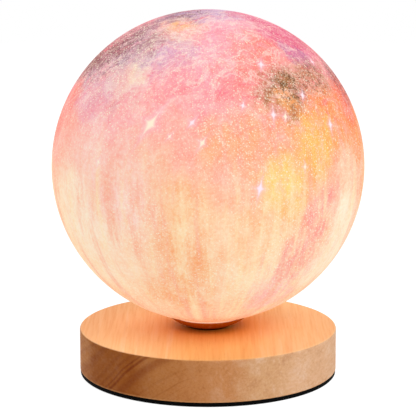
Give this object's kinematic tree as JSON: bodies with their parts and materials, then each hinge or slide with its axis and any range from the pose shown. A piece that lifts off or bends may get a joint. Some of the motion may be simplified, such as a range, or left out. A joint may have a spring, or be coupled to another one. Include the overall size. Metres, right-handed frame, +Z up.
{
  "type": "moon lamp",
  "caption": "Round night lamp: a glowing printed globe on a low turned wooden base, with a twist-off globe, a push button and a charging inlet at the back.",
  "frame": {"origin": "on the table, under the middle of the round foot, on the globe's vertical axis", "axes": "+Z up through the globe, -Y to the front, +Y to the inlet and button at the back, +X to the right as seen from the front"},
  "size_m": [0.15, 0.15, 0.1765],
  "materials": {
    "printed_globe": "satin print over a white diffusing shell, lit from inside",
    "white_plastic": "moulded satin",
    "base_wood": "oiled, fine straight grain",
    "dish_wood": "oiled, turned",
    "foot_foam": "matt closed-cell foam",
    "black_plastic": "fine moulded texture",
    "button_plastic": "satin",
    "soft_ring": "translucent matt",
    "zinc_steel": "bright zinc",
    "sink_aluminium": "extruded, natural",
    "board_white": "white solder mask",
    "emitter_yellow": "phosphor under clear resin",
    "frosted_white": "frosted",
    "inlet_steel": "drawn, satin nickel",
    "board_green": "green solder mask",
    "chip_black": "moulded epoxy",
    "choke_grey": "pressed ferrite",
    "capacitor_tan": "fired",
    "plug_white": "moulded nylon",
    "cell_foil": "satin laminate",
    "tape_white": "foam",
    "lead_red": "soft insulation",
    "lead_black": "soft insulation"
  },
  "bodies": {
    "base": {"foot_pad": "foot_foam", "bottom_cover": "black_plastic", "cover_screws": "zinc_steel", "wood_base": "base_wood", "neck_dish": "dish_wood", "seat_ring": "soft_ring", "stem_tube": "zinc_steel", "stem_washer": "zinc_steel", "stem_nut": "zinc_steel", "lamp_holder": "white_plastic", "heat_sink": "sink_aluminium", "led_board": "board_white", "led_chips": "emitter_yellow", "led_diffuser": "frosted_white", "led_screws": "zinc_steel", "port_panel": "black_plastic", "usb_socket": "inlet_steel", "usb_tongue": "chip_black", "switch_body": "chip_black", "control_board": "board_green", "board_screws": "zinc_steel", "cell_plug": "plug_white", "battery_cell": "cell_foil", "battery_tape": "tape_white", "charger_chip": "chip_black", "driver_chip": "chip_black", "power_choke": "choke_grey", "capacitors": "capacitor_tan", "cell_header": "plug_white", "led_lead_red": "lead_red", "led_lead_black": "lead_black", "cell_lead_red": "lead_red", "cell_lead_black": "lead_black"},
    "globe": {"globe_shell": "printed_globe", "globe_collar": "white_plastic"},
    "button": {"power_button": "button_plastic", "switch_plunger": "plug_white"}
  },
  "joints": [
    {"name": "globe_twist", "type": "hinge", "parent": "base", "child": "globe", "pos_m": [0, 0, 0.0312], "axis": [0, 0, 1], "range_deg": [0, 30]},
    {"name": "button_press", "type": "slide", "parent": "base", "child": "button", "axis": [0, -1, 0], "range_m": [0, 0.0012], "stiffness_N_per_m": 500}
  ]
}
